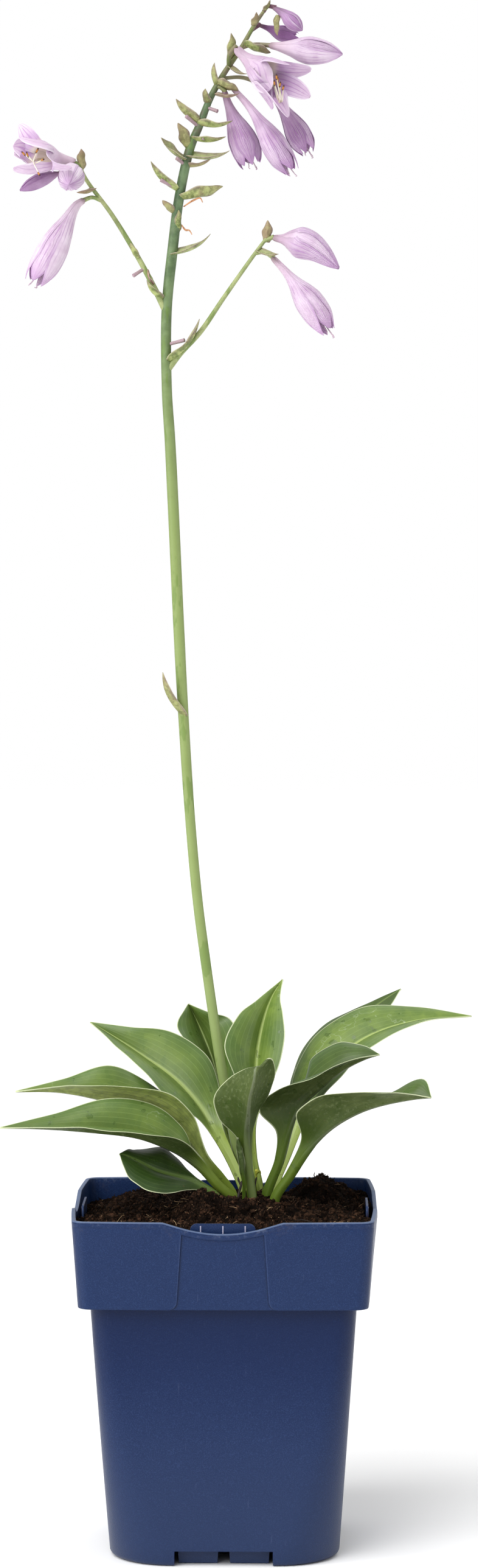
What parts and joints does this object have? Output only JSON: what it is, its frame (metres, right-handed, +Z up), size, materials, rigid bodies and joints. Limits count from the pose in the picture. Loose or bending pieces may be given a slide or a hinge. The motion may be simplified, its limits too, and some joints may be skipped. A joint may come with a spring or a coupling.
{
  "type": "potted hosta plant",
  "caption": "Square nursery pot of peat holding a flowering hosta: a low clump of folded, pale-edged leaves and one tall leaning scape with side branches and hanging mauve blooms.",
  "frame": {"origin": "middle of the pot's underside, at the level it stands on", "axes": "+Z up the scape, -Y towards the side of the pot that faces the picture's camera, +X to its right"},
  "size_m": [0.2241, 0.1535, 0.7299],
  "materials": {
    "pot_plastic": "satin, dark blue, scuffed at the rim",
    "peat": "rough, dark brown, fibrous",
    "leaf": "satin green with cream margins",
    "scape": "satin light green",
    "bloom": "soft mauve with darker veins"
  },
  "bodies": {
    "root": {"pot": "pot_plastic", "peat": "peat", "leaf_01": "leaf", "leaf_02": "leaf", "leaf_03": "leaf", "leaf_04": "leaf", "leaf_05": "leaf", "leaf_06": "leaf", "leaf_07": "leaf", "leaf_08": "leaf", "leaf_09": "leaf", "leaf_10": "leaf", "leaf_11": "leaf", "leaf_12": "leaf", "scape": "scape", "bloom_01": "bloom", "bloom_02": "bloom", "bloom_03": "bloom", "bloom_04": "bloom", "bloom_05": "bloom", "bloom_06": "bloom", "bloom_07": "bloom", "bloom_08": "bloom", "bloom_09": "bloom", "bloom_10": "bloom", "bloom_11": "bloom", "bloom_12": "bloom", "bloom_13": "bloom"}
  },
  "joints": []
}
